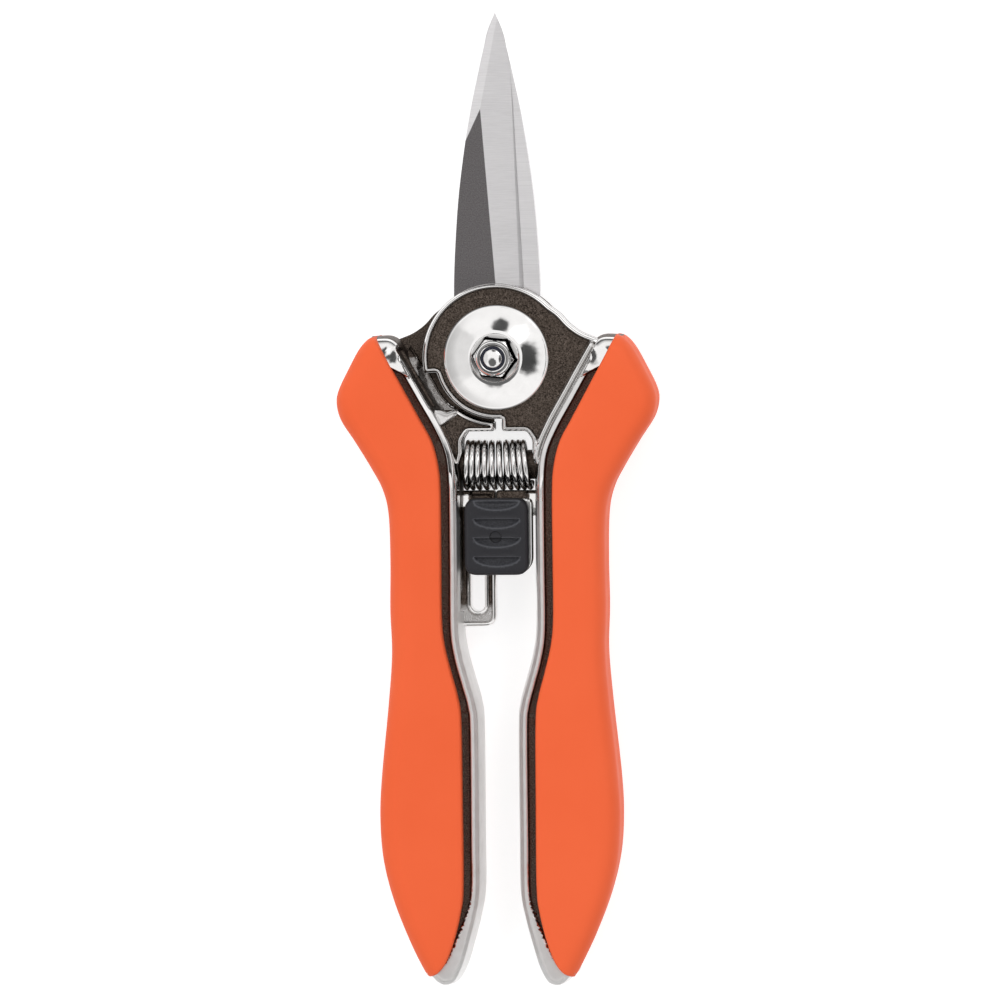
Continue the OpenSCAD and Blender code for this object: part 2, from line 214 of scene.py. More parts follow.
class Shell:
    """Vertices, faces and one painted value per vertex, which can be joined and turned."""

    def __init__(self, points, faces, paint=0.0):
        self.points = points
        self.faces = faces
        self.paint = np.broadcast_to(np.asarray(paint, float), (len(points),))

    def __add__(self, other):
        n = len(self.points)
        return Shell(np.vstack([self.points, other.points]),
                     self.faces + [[i + n for i in f] for f in other.faces],
                     np.concatenate([self.paint, other.paint]))

    def turned(self):
        """Half a turn about the tool's long axis: the other casting's share of the same shape."""
        return Shell(self.points * [-1, 1, -1], self.faces, self.paint)

    def moved(self, y=0.0, z=0.0):
        return Shell(self.points + [0.0, y, z], self.faces, self.paint)


def plate(loops, rims, top, bottom, grid=1.2, paint=None, wall=(), extra=()):
    """Closed plate inside loops[0] and outside any further loops.

    rims is a list of (line, closed, rows): extra rows of points run at those distances from the
    line, so that a bead or a rounded edge is cut cleanly, and extra holds more points. Elsewhere
    the points are a triangle grid. top and bottom give z for an array of points, and paint the
    painted value. wall is a list of (share of the height, inset) rows down the sides.
    """
    pts, edges, starts, count = [], [], [], 0
    for loop in loops:
        n = len(loop)
        pts.append(loop)
        starts.append(count)
        edges += [(count + i, count + (i + 1) % n) for i in range(n)]
        count += n

    def kept(p, clear):
        ok = inside(p, loops[0])
        for hole in loops[1:]:
            ok &= ~inside(p, hole)
        p = p[ok]
        far = np.ones(len(p), bool)
        for loop in loops:
            far &= distance(p, loop, True) > clear
        return p[far]

    for line, closed, rows in rims:
        n = normals_of(line, closed)
        for d in [r for r in rows if r > 0.02]:
            for side in (1, -1):
                p = kept(line + side * d * n, min(0.6 * d, 0.12))
                pts.append(p[distance(p, line, closed) > 0.985 * d])
    lo, hi = loops[0].min(0), loops[0].max(0)
    gx, gy = np.meshgrid(np.arange(lo[0], hi[0], grid), np.arange(lo[1], hi[1], grid * 0.87))
    gx[1::2] += grid / 2
    p = kept(np.column_stack([gx.ravel(), gy.ravel()]), 0.6 * grid)
    for line, closed, rows in rims:
        p = p[distance(p, line, closed) > max(rows) + 0.5 * grid] if len(p) else p
    pts.append(p)
    pts += [kept(e, 0.05) for e in extra]
    flat = [Vector(q) for q in np.vstack(pts)]
    out, _, tris, source, _, _ = delaunay_2d_cdt(flat, edges, [], 1, 1e-6)
    xy, tris = np.array([tuple(v) for v in out]), np.array(tris)
    for hole in loops[1:]:
        tris = tris[~inside(xy[tris].mean(1), hole)]
    a, b, c = xy[tris[:, 0]], xy[tris[:, 1]], xy[tris[:, 2]]
    flip = np.cross(b - a, c - a) < 0
    tris[flip] = tris[flip][:, ::-1]
    where = {s: i for i, ids in enumerate(source) for s in ids}
    m = len(xy)
    zt, zb = top(xy), bottom(xy)
    points = [np.column_stack([xy, zt]), np.column_stack([xy, zb])]
    faces = tris.tolist() + (tris[:, ::-1] + m).tolist()
    total = 2 * m
    for start, loop in zip(starts, loops):
        ring = np.array([where[start + i] for i in range(len(loop))])
        leftward = np.cross(loop, np.roll(loop, -1, 0)).sum() > 0
        metal_left = leftward == (start == 0)
        outward = normals_of(loop, True) * (-1 if metal_left else 1)
        chain = [ring]
        for share, inset in wall:
            z = zt[ring] * (1 - share) + zb[ring] * share
            points.append(np.column_stack([xy[ring] - outward * inset, z]))
            chain.append(np.arange(total, total + len(loop)))
            total += len(loop)
        chain.append(ring + m)
        for u, v in zip(chain[:-1], chain[1:]):
            quads = np.column_stack([u, v, np.roll(v, -1), np.roll(u, -1)])
            faces += (quads if metal_left else quads[:, ::-1]).tolist()
    points = np.vstack(points)
    return Shell(points, faces, paint(points) if paint else 0.0)


def skin(rings, first, last):
    """Points and faces of a stack of rings, with one more point closing each end."""
    n, turns = rings.shape[:2]
    i, j = np.arange(n - 1)[:, None] * turns, np.arange(turns)[None, :]
    k = (j + 1) % turns
    quads = np.stack([i + j, i + k, i + turns + k, i + turns + j], -1).reshape(-1, 4)
    a, b, top = j[0], k[0], (n - 1) * turns
    caps = np.vstack([np.column_stack([np.full(turns, n * turns), b, a]),
                      np.column_stack([np.full(turns, n * turns + 1), top + a, top + b])])
    return np.vstack([rings.reshape(-1, 3), [first], [last]]), quads.tolist() + caps.tolist()


def lathe(profile, axis="z", turns=128):
    """A closed profile of (radius, height) turned round its axis; it starts and ends at radius 0.

    A ring's points are (radius cos a, radius sin a, height).
    """
    prof = np.array(profile, float)
    a = np.linspace(0, 2 * np.pi, turns, endpoint=False)
    r, z = prof[1:-1, 0:1], prof[1:-1, 1:2]
    rings = np.stack([r * np.cos(a), r * np.sin(a), z + 0 * a], -1)
    points, faces = skin(rings, (0, 0, prof[0, 1]), (0, 0, prof[-1, 1]))
    if axis == "x":
        points = points[:, [2, 0, 1]]
    if prof[-1, 1] < prof[0, 1]:
        faces = [f[::-1] for f in faces]
    return Shell(points, faces)


def tube(path, radius, sides):
    """A round wire along a path, each end closed by a low cone.

    A ring's point is the path's plus radius times (cos a side + sin a up), where side and up are
    square to the path's direction.
    """
    t = np.gradient(path, axis=0)
    t /= np.linalg.norm(t, axis=1, keepdims=True)
    side = np.cross(t, [1.0, 0, 0])
    side /= np.linalg.norm(side, axis=1, keepdims=True)
    up = np.cross(t, side)
    a = np.linspace(0, 2 * np.pi, sides, endpoint=False)
    rings = path[:, None] + radius * (np.cos(a)[:, None] * side[:, None]
                                      + np.sin(a)[:, None] * up[:, None])
    nose = 0.4 * radius
    return Shell(*skin(rings, path[0] - t[0] * nose, path[-1] + t[-1] * nose))


def piece(name, shell, material, body, node, sharp=35.0):
    """Makes the object of one piece: place, material, body and the CAD node it stands for."""
    mesh = bpy.data.meshes.new(name)
    mesh.from_pydata(at(shell.points).tolist(), [], shell.faces)
    mesh.update()
    # The painted value per vertex: as-cast darkening with painted shade on the castings, painted shade
    # on the spring and nut, painted highlights on the button, -1 for satin plate.
    painted = mesh.attributes.new("painted_light_and_cast", "FLOAT", "POINT")
    painted.data.foreach_set("value", shell.paint.astype(np.float32))
    obj = bpy.data.objects.new(name, mesh)
    bpy.context.scene.collection.objects.link(obj)
    mesh.materials.append(material)
    mesh.shade_smooth()
    mesh.set_sharp_from_angle(angle=math.radians(sharp))
    if body:
        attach(obj, body)
    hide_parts(node)
    return obj


# ---------------------------------------------------------------- materials

class Finish:
    """A Principled material being put together from a few kinds of node."""

    def __init__(self, name, **sockets):
        self.material = bpy.data.materials.new(name)
        self.material.use_nodes = True
        self.tree = self.material.node_tree
        self.shader = self.tree.nodes["Principled BSDF"]
        self.coords = self.tree.nodes.new("ShaderNodeTexCoord").outputs["Object"]
        for key, value in sockets.items():
            self.shader.inputs[key.replace("_", " ")].default_value = value

    def node(self, kind, **inputs):
        n = self.tree.nodes.new("ShaderNode" + kind)
        for key, value in inputs.items():
            self.feed(n.inputs[key.replace("_", " ")], value)
        return n

    def feed(self, socket, value):
        if isinstance(value, bpy.types.NodeSocket):
            self.tree.links.new(value, socket)
        else:
            socket.default_value = value

    def set(self, socket, value):
        self.feed(self.shader.inputs[socket], value)

    def stretched(self, scale):
        return self.node("Mapping", Vector=self.coords, Scale=scale).outputs["Vector"]

    def noise(self, scale, detail, rough=0.55, vector=None):
        n = self.node("TexNoise", Vector=vector or self.coords, Scale=scale, Detail=detail,
                      Roughness=rough)
        return n.outputs["Fac"]

    def cells(self, scale):
        return self.node("TexVoronoi", Vector=self.coords, Scale=scale).outputs["Distance"]

    def painted(self):
        n = self.node("Attribute")
        n.attribute_name = "painted_light_and_cast"
        return n.outputs["Fac"]

    def math(self, operation, a, b):
        n = self.node("Math")
        n.operation = operation
        for socket, value in zip(n.inputs, (a, b)):
            self.feed(socket, value)
        return n.outputs["Value"]

    def plus(self, a, b):
        return self.math("ADD", a, b)

    def minus(self, a, b):
        return self.math("SUBTRACT", a, b)

    def times(self, a, b):
        return self.math("MULTIPLY", a, b)

    def fit(self, value, low, high, to_low=0.0, to_high=1.0):
        """The value's span from low to high laid over another, and held at its ends."""
        n = self.node("MapRange")
        for socket, v in zip(n.inputs, (value, low, high, to_low, to_high)):
            self.feed(socket, v)
        return n.outputs["Result"]

    def mix(self, fac, a, b):
        """Colour a where fac is 0, colour b where it is 1."""
        n = self.node("Mix")
        n.data_type = "RGBA"
        self.feed(n.inputs[0], fac)
        self.feed(n.inputs[6], a)
        self.feed(n.inputs[7], b)
        return n.outputs[2]

    def bump(self, height, strength, depth, normal=None):
        n = self.node("Bump", Height=height, Strength=strength, Distance=depth)
        if normal is not None:
            self.feed(n.inputs["Normal"], normal)
        return n.outputs["Normal"]


def plated_casting():
    """Nickel-chrome plate: bright on the rims, satin along the handles, dark and pitted in the hollows,
    where the dark colour is as-cast texture with painted shade over it.

    The painted value is 1 in a hollow left as cast and painted with shade, 0 on polished plate and -1
    on satin plate.
    """
    f = Finish("plated_casting", Metallic=1.0)
    fine, coarse = f.noise(5200, 5, 0.65), f.noise(500, 3)
    edge = f.plus(f.painted(), f.times(f.minus(fine, 0.5), 0.5))
    hollow = f.fit(edge, 0.35, 0.65)
    # dark: the as-cast colour made darker still as painted shade and painted dark reflection.
    dark = f.mix(f.fit(fine, 0.40, 0.66), (0.022, 0.016, 0.013, 1), (0.230, 0.185, 0.155, 1))
    dark = f.mix(f.fit(coarse, 0.35, 0.75, 0.0, 0.45), dark, (0.090, 0.070, 0.055, 1))
    bright = f.mix(f.fit(coarse, 0.3, 0.7), (0.80, 0.79, 0.78, 1), (0.87, 0.86, 0.855, 1))
    f.set("Base Color", f.mix(hollow, bright, dark))
    satin = f.fit(f.painted(), -1.0, 0.0, 0.40, 0.0)
    f.set("Roughness", f.plus(f.fit(hollow, 0, 1, 0.09, 0.46), satin))
    waves = f.bump(f.noise(260, 2), 0.25, 0.04 * MM)
    pits = f.times(hollow, f.plus(fine, f.times(f.cells(4200), 0.5)))
    f.set("Normal", f.bump(pits, 0.8, 0.07 * MM, waves))
    return f.material


def soft_grip():
    """Smooth satin rubber with a very fine moulded grain and faint handling marks."""
    f = Finish("soft_grip", Metallic=0.0, Specular_IOR_Level=0.2)
    cloud, grain = f.fit(f.noise(45, 3), 0.3, 0.7), f.noise(5200, 2)
    f.set("Base Color", f.mix(cloud, (0.870, 0.128, 0.040, 1), (0.900, 0.140, 0.047, 1)))
    f.set("Roughness", f.fit(f.noise(150, 4), 0.3, 0.7, 0.52, 0.62))
    f.set("Normal", f.bump(grain, 0.35, 0.03 * MM))
    return f.material


def button_plastic():
    """Black satin plastic with a light spark-eroded grain, a little greyer where painted highlights lie
    along the scoops' rims.
    """
    f = Finish("button_plastic", Metallic=0.0, Specular_IOR_Level=0.4)
    grain = f.noise(3800, 3, 0.6)
    # Lighter where the painted value is high: painted highlights along the scoops' outlines; the
    # moulding mark gets none and stays darker, as painted shade.
    painted_highlights = f.fit(f.plus(f.painted(), f.times(f.minus(grain, 0.5), 0.9)), 0.3, 0.9)
    f.set("Base Color", f.mix(painted_highlights, (0.018, 0.018, 0.022, 1), (0.075, 0.078, 0.088, 1)))
    f.set("Roughness", f.fit(f.noise(300, 3), 0.3, 0.7, 0.42, 0.55))
    f.set("Normal", f.bump(grain, 0.5, 0.05 * MM))
    return f.material


def bright_plate(name):
    """Bright nickel on turned or pressed parts, a little hazy, with painted shade in crevices."""
    f = Finish(name, Metallic=1.0)
    haze = f.noise(500, 4)
    nickel = f.mix(f.fit(haze, 0.3, 0.7), (0.83, 0.825, 0.82, 1), (0.90, 0.895, 0.89, 1))
    # Where painted, the nickel turns nearly black: painted shade in crevices and between the spring's
    # turns.
    f.set("Base Color", f.mix(f.painted(), nickel, (0.012, 0.011, 0.010, 1)))
    f.set("Roughness", f.fit(haze, 0.3, 0.7, 0.06, 0.13))
    f.set("Normal", f.bump(f.noise(330, 2), 0.15, 0.03 * MM))
    return f.material


def plain_steel():
    """Uncoated steel of pins and rivets, with a fine drawn grain."""
    f = Finish("plain_steel", Metallic=1.0)
    grain = f.noise(900, 5, 0.6, f.stretched((1, 1, 8)))
    f.set("Base Color", f.mix(grain, (0.40, 0.39, 0.38, 1), (0.62, 0.61, 0.60, 1)))
    f.set("Roughness", f.fit(grain, 0.3, 0.7, 0.22, 0.4))
    f.set("Normal", f.bump(grain, 0.3, 0.02 * MM))
    return f.material


def nylon():
    """Dark blue nylon of the locking ring."""
    f = Finish("nylon", Metallic=0.0)
    f.set("Base Color", f.mix(f.noise(900, 3), (0.003, 0.004, 0.012, 1), (0.008, 0.011, 0.03, 1)))
    f.set("Roughness", f.fit(f.noise(1200, 2), 0.3, 0.7, 0.35, 0.5))
    f.set("Normal", f.bump(f.noise(1600, 2), 0.3, 0.03 * MM))
    return f.material


def blade_steel(mirrored):
    """Ground steel: fine cross-grinding lines on the bevels, a darker blasted flat beside the spine.

    The flat is the part of a blade's outer face on the spine's side of the ridge, which is the line
    x = -0.0785 (y - 11), and below the line y = 2.115 (x + 2.4) + 40.3 where the tip's own facet
    begins. mirrored is -1 for the blade that shows its other side.
    """
    f = Finish("blade_steel_rear" if mirrored < 0 else "blade_steel_front", Metallic=1.0)
    split = f.node("SeparateXYZ", Vector=f.coords)
    x = f.times(split.outputs["X"], 1000.0 * mirrored)
    y = f.minus(f.times(split.outputs["Y"], 1000.0), float(PIVOT[1]))
    z = f.times(f.minus(split.outputs["Z"], float(PIVOT[2]) * MM), 1000.0 * mirrored)
    from_ridge = f.plus(x, f.times(f.minus(y, 11.0), 0.0785))
    from_tip_line = f.minus(y, f.times(f.plus(x, 2.4), 2.115))
    spine_side = f.fit(from_ridge, -0.13, -0.07, 1, 0)
    below_tip = f.fit(from_tip_line, 40.2, 40.4, 1, 0)
    flat = f.times(f.times(spine_side, below_tip), f.fit(z, 1.9, 1.97))
    lines = f.noise(900, 6, 0.7, f.stretched((0.12, 9.0, 1.0)))
    broad = f.noise(70, 2, 0.5, f.stretched((0.2, 3.0, 1.0)))
    grit = f.noise(5200, 3, 0.6)
    ground = f.mix(f.fit(lines, 0.3, 0.7), (0.80, 0.79, 0.80, 1), (0.95, 0.94, 0.95, 1))
    ground = f.mix(f.fit(broad, 0.35, 0.7, 0.0, 0.3), ground, (0.97, 0.96, 0.97, 1))
    blasted = f.mix(f.fit(grit, 0.35, 0.65), (0.155, 0.145, 0.148, 1), (0.235, 0.225, 0.228, 1))
    f.set("Base Color", f.mix(flat, ground, blasted))
    f.set("Roughness", f.fit(flat, 0, 1, 0.42, 0.55))
    cuts = f.bump(f.times(lines, f.minus(1.0, flat)), 0.35, 0.03 * MM)
    f.set("Normal", f.bump(f.times(grit, flat), 0.5, 0.04 * MM, cuts))
    return f.material


CASTING = plated_casting()
GRIP = soft_grip()
BLACK = button_plastic()
PLATE = bright_plate("bright_plate")
WIRE = bright_plate("spring_wire")
STEEL = plain_steel()
NYLON = nylon()

# ---------------------------------------------------------------- the handles' outlines

grip_side = smooth([(19.6, 3.6), (20.8, 3.1), (22.3, 1.4), (24.1, -1.9), (25.6, -5.0), (26.0, -7.2),
    (25.3, -10.0), (23.0, -13.6), (20.4, -17.9), (18.6, -21.4), (17.7, -25.5), (17.5, -33),
    (17.6, -41), (17.4, -48), (18.0, -56), (19.3, -68.5), (19.6, -75.5), (19.1, -82), (17.5, -88.5),
    (15.0, -95), (12.9, -99.4), (11.9, -101)])
grip_edge = smooth([(19.6, 3.6), (17.6, -0.2), (15.0, -5.0), (12.3, -10.0), (10.4, -13.6),
    (9.4, -17.6), (9.1, -22), (9.1, -32), (9.1, -42), (8.7, -46.5), (7.7, -50.8), (6.6, -55),
    (6.1, -59), (6.0, -72), (6.0, -86), (6.5, -90.5), (7.6, -95), (8.9, -98.4), (10.3, -100.2),
    (11.9, -101)])
inner_wall = smooth([(11.9, -101), (10.7, -102.2), (9.2, -102.8), (7.3, -102.1), (5.9, -99.6),
    (4.9, -96.4), (3.6, -91.4), (2.9, -87), (2.85, -78), (2.85, -60.5), (3.2, -56.4), (4.2, -52.6),
    (5.3, -48.5), (5.9, -44), (5.9, -34), (5.9, -24), (6.0, -18.5), (6.6, -14.6), (8.3, -10.6),
    (11.0, -5.8), (13.4, -1.5), (15.4, 2.0), (16.2, 3.0), (17.5, 3.6), (19.6, 3.6)], 0.3)

# Height of the handle's face at each distance from the inner wall: a steep cast flank, a polished
# bead and the sunk band that the grip's edge stands in. Beside the head the flank starts from a bead
# of its own, and on the other head's side from a low ledge.
BAR_ROWS = [0.0, 0.06, 0.12, 0.18, 0.25, 0.33, 0.42, 0.52, 0.62, 0.72, 0.85, 1.0, 1.15, 1.3, 1.42,
    1.5, 1.57, 1.65, 1.75]
BAND_FALL = [6.35, 6.1, 5.92, BAND_Z]
HEAD_BEAD = [6.33, 6.4, 6.48, 6.56, 6.63, 6.58] + BAND_FALL
BAR_Z = [4.4, 5.0, 5.6, 6.05, 6.28, 6.38, 6.45, 6.52, 6.6, 6.72, 6.79, 6.8, 6.76, 6.69,
    6.6] + BAND_FALL
HEAD_SIDE_Z = [4.02, 4.2, 4.4, 4.66, 5.0, 5.45, 5.9, 6.18, 6.27] + HEAD_BEAD
LEDGE_Z = [2.0, 2.05, 2.1, 2.12, 2.14, 2.16, 2.2, 4.3, 6.2, 6.32] + HEAD_BEAD[1:]
LEVEL_Z = 6.76       # the metal near the butt, level with the bead
# The same for the bead round a head's sunk face.
HEAD_ROWS = [0.0, 0.05, 0.13, 0.22, 0.32, 0.42, 0.52, 0.60, 0.67, 0.75, 0.85]
HEAD_Z = [3.75, 4.0, 4.22, 4.40, 4.52, 4.58, 4.60, 4.58, 4.48, 4.2, HEAD_FACE_Z]


def handle_bar():
    """The right handle's strip of casting, front and back alike, from the shoulder to the butt.

    Its face follows the row heights, turning from the bar's own to the head's side between y = -21.5
    and -17.5. The inner wall bulges by WALL_DRAFT times sin(pi t), t going from one face to the other.
    """
    under_grip = grip_edge + 0.8 * normals_of(grip_edge)
    brow = inner_wall - WALL_DRAFT * normals_of(inner_wall)
    loop = np.vstack([brow[:-1], under_grip])
    crest = brow[brow[:, 1] > 2.4]

    def slope_line(x):
        """The line up the shoulder, half as high as it is long."""
        return 0.5 * (x - 17.0)

    def shoulder(p):
        """1 at the shoulder, where the metal swells up to the grip without a sunk band."""
        return step_up(p[:, 1] - slope_line(p[:, 0]), -1.75, -1.35)

    def filled(p, d):
        """1 where the metal near the butt is level with the bead, up to a ragged edge."""
        ragged = 0.13 * np.sin(9.0 * p[:, 1]) + 0.08 * np.sin(23.0 * p[:, 1] + 4.0 * p[:, 0])
        limit = 1.3 + 1.6 * np.clip((-86.5 - p[:, 1]) / 11.4, 0, 1.3)**1.3
        return step_up(limit + ragged - d, -0.12, 0.12) * step_up(-p[:, 1], 84.0, 87.0)

    def face(p, ledged):
        d = distance(p, brow)
        own, by_head = np.interp(d, BAR_ROWS, BAR_Z), np.interp(d, BAR_ROWS, HEAD_SIDE_Z)
        near = step_up(p[:, 1], -21.5, -17.5)
        z = own * (1 - near) + by_head * near
        if ledged:
            low = step_up(p[:, 1], -8.6, -7.9) * (1 - step_up(p[:, 1], 1.2, 1.9))
            z = z * (1 - low) + np.interp(d, BAR_ROWS, LEDGE_Z) * low
        near_crest = 1 - np.clip(distance(p, crest) / 4.6, 0, 1)
        swell = 7.05 - 1.3 * near_crest - 1.1 * (1 - np.sqrt(1 - near_crest**2))
        swell = np.where(d < 0.9, np.minimum(z, swell), swell)
        z = np.where(d > 1.1, z + (LEVEL_Z - z) * filled(p, d), z)
        return z * (1 - shoulder(p)) + swell * shoulder(p)

    def hollow(p):
        """Darkened in the band and on the flanks, as-cast texture with painted shade, and on the inner
        wall beside the catch as painted shade; else polished, and satin far down.
        """
        d, x, y, z = distance(p[:, :2], brow), p[:, 0], p[:, 1], p[:, 2]
        band = step_up(d, 1.36, 1.42) * (np.abs(z) > 4.7) * (1 - step_up(shoulder(p), 0.93, 1.0))
        band = band * (1 - step_up(filled(p, d), 0.85, 1.0))
        rough = step_up(0.50 - d, 0.0, 0.08) * step_up(-z, 1.8, 1.95) * (z > -2.5)
        flank = (z < -2.5) & (z > -6.1) & (d < 0.65) & (y > -8.6) & (y < 1.5)
        # The inner wall from beside the catch upwards is darkened as painted shade.
        wall = (np.abs(z) < 4.3) * step_up(y, -42.0, -33.0)
        cast = np.maximum(np.maximum(band, 0.5 * rough), 0.9 * (wall + flank))
        return np.where(cast > 0.01, cast, -step_up(-y, 20.0, 27.0))

    x = np.arange(13.2, 19.5, 0.2)
    shoulder_lines = [np.column_stack([x, slope_line(x) + rise])
                      for rise in (-1.8, -1.7, -1.6, -1.5, -1.42, -1.36, -1.3)]
    butt = field(3.5, 11.0, -99.5, -82.0, 0.24)
    d = distance(butt, brow)
    butt = butt[(d > 1.2) & (d < 3.4) & (distance(butt, grip_edge) < 1.6)]
    bulge = [(t, -WALL_DRAFT * math.sin(math.pi * t)) for t in np.arange(1, 10) / 10]
    return plate([loop], [(brow, False, BAR_ROWS)], lambda p: face(p, False),
                 lambda p: -face(p, True), 0.9, hollow, bulge, shoulder_lines + [butt])


def head():
    """The right casting's round head and neck, with its sunk face towards +Z."""
    neck = smooth([(16.2, 3.0), (13.9, 3.95), (12.0, 5.3), (10.3, 7.1), (8.5, 8.45)], 0.3)
    upper, lower = [(STEP_R * math.cos(a), STEP_R * math.sin(a)) for a in np.radians([193.5, 274.6])]
    notch = eased(arc(HEAD_R, 189, 192) + [upper] + arc(STEP_R, 197, 271), 0.35, step=0.3)
    window = eased([arc(STEP_R, 271.2, 271.2)[0], lower, (0.8, WINDOW_Y), (WINDOW_X - 0.9, WINDOW_Y),
        (WINDOW_X, WINDOW_Y - 1.4), (WINDOW_X, -15.5), (6.2, -17.4)], 0.45, step=0.3)
    rim = walk(np.vstack([neck, arc(HEAD_R, 45, 188.5), notch, window]), 0.3)
    hidden = [(7.6, -17.5), (8.4, -13), (11.6, -7), (15.4, -0.8), (17.2, 1.6), (17.2, 2.8)]
    loop = np.vstack([rim, walk(np.array(hidden), 1.0)])
    beside_bar = (inner_wall[:, 1] > -16.5) & (inner_wall[:, 1] < 2.2)
    bead = (inner_wall - 0.05 * normals_of(inner_wall))[beside_bar]
    bead_rows = [0.0, 0.12, 0.24, 0.34, 0.42, 0.5, 0.58]
    bead_z = [4.74, 4.72, 4.64, 4.5, 4.34, 4.14, HEAD_FACE_Z]

    def face(p):
        return np.maximum(np.interp(distance(p, rim), HEAD_ROWS, HEAD_Z),
                          np.interp(distance(p, bead), bead_rows, bead_z))

    def hollow(p):
        # The sunk face and the inner side take the dark colour: as-cast texture with painted shade.
        xy, z = p[:, :2], p[:, 2]
        sunk = step_up(distance(xy, rim), 0.62, 0.74) * step_up(distance(xy, bead), 0.46, 0.55)
        return sunk * (z > 3.9) + (z < INNER_Z + 0.01)

    return plate([loop], [(rim, False, HEAD_ROWS), (bead, False, bead_rows)], face,
                 lambda p: np.full(len(p), INNER_Z), 1.0, hollow, [(0.4, 0.0)])


def guard():
    """The left casting's stop and finger beside the front head, its sunk face towards +Z.

    Its upper edge dips where the head's lobe comes to rest when the snips are fully open, and the
    block there leans down to the left.
    """
    edge = eased([(-10.9, -8.5), (-9.1, -8.6), (-8.3, -9.0), (-7.8, -8.8)] + arc(GUARD_R, 232, 266)
        + [(-0.45, -10.55), (-0.45, WINDOW_Y), (0.9 - WINDOW_X, WINDOW_Y),
           (-WINDOW_X, WINDOW_Y - 1.4), (-WINDOW_X, -15.5), (-6.2, -17.4)], 0.4, step=0.3)
    loop = np.vstack([edge, walk(np.array([(-7.6, -17.5), (-8.6, -12.6), (-10.4, -9.0)]), 1.0)])
    rows = [0.0, 0.05, 0.14, 0.26, 0.38, 0.5, 0.6, 0.7]
    heights = [3.95, 4.15, 4.40, 4.56, 4.60, 4.56, 4.3, HEAD_FACE_Z]

    def block(p):
        """1 on the stop block, above a slanting line and left of x = -6.35."""
        above = step_up(p[:, 1] + 11.1 - 0.76 * (p[:, 0] + 9.0), -0.15, 0.2)
        return above * step_up(-6.35 - p[:, 0], 0.0, 0.35)

    def face(p):
        leaning = 4.45 - 0.14 * (p[:, 0] + 8.6) - 0.26 * (p[:, 1] + 9.2)
        raised = HEAD_FACE_Z + (leaning - HEAD_FACE_Z) * block(p)
        return np.maximum(np.interp(distance(p, edge), rows, heights), raised)

    def hollow(p):
        # The sunk face and the inner side take the dark colour, as-cast texture with painted shade; the
        # stop block is satin.
        sunk = step_up(distance(p[:, :2], edge), 0.48, 0.62) * (p[:, 2] > 3.9) * (1 - block(p))
        return np.clip(sunk - block(p) + 2 * (p[:, 2] < 0.05), -1, 1)

    dense = field(-10.6, -6.1, -11.6, -8.2, 0.16)
    return plate([loop], [(edge, False, rows)], face, lambda p: np.full(len(p), -0.01), 0.5, hollow,
                 extra=[dense[distance(dense, edge) > 0.75]])


def ledge():
    """Rough-cast ledge, darkened with painted shade, beside the left handle with a bright hooked bead
    along its free edge.

    It is low where the other head's lobe sweeps over it and rises towards the handle.
    """
    edge = smooth([(-14.3, 1.9), (-13.6, 0.9), (-12.4, -0.9), (-10.75, -3.4), (-9.55, -5.6),
        (-8.3, -7.2), (-7.6, -7.85), (-7.1, -8.0)], 0.2)
    hidden = [(-7.1, -8.6), (-10.4, -8.7), (-14.3, -2.0), (-15.1, 0.6)]
    loop = np.vstack([edge, walk(np.array(hidden), 0.6)])
    rows = [0.0, 0.08, 0.18, 0.28, 0.4, 0.5]
    heights = [-0.1, 0.12, 0.23, 0.2, 0.02, -0.15]

    def face(p):
        clear = step_up(np.hypot(p[:, 0], p[:, 1]), HEAD_R + 0.3, HEAD_R + 1.3)
        rise = clear * (1 - step_up(p[:, 1], -1.0, 1.4))
        return np.interp(distance(p, edge), rows, heights) + 1.9 * rise

    def hollow(p):
        # Half dark beyond the bead and fully dark at the top end by the handle: as-cast texture with
        # painted shade.
        return np.maximum(0.5 * step_up(distance(p[:, :2], edge), 0.36, 0.46),
                          step_up(p[:, 1], -0.5, 0.6))

    return plate([loop], [(edge, False, rows)], face, lambda p: np.full(len(p), -0.5), 0.45, hollow)


def spring_peg():
    """Round-nosed peg on the right handle that centres the spring's end."""
    radius, ease, tip, root = 2.4, 0.5, 3.65, 6.8
    nose = [(radius - ease + ease * math.sin(a), tip + ease - ease * math.cos(a))
            for a in np.linspace(0, np.pi / 2, 6)]
    peg = lathe([(0, tip), (0.01, tip)] + nose + [(radius, root), (0.01, root), (0, root)], "x", 48)
    # The whole peg takes the casting's dark colour, as painted shade inside the coil.
    return Shell(peg.points, peg.faces, 1.0).moved(y=SPRING_Y)


def spring_shade(p):
    """How much painted shade covers an arm: all of its edge under the spring, and its middle."""
    middle = step_up(p[:, 1], -24.5, -23.6) * step_up(4.6 - np.abs(p[:, 0]), 0.0, 0.5)
    return np.maximum(middle, step_up(p[:, 1], -22.45, -22.3))


def lean(p):
    """Drop of an arm's outer corner, 0.3 of the distance past y = -24.3 towards the spring."""
    return 0.3 * np.maximum(p[:, 1] + 24.3, 0) * step_up(np.abs(p[:, 0]), 4.4, 4.7)


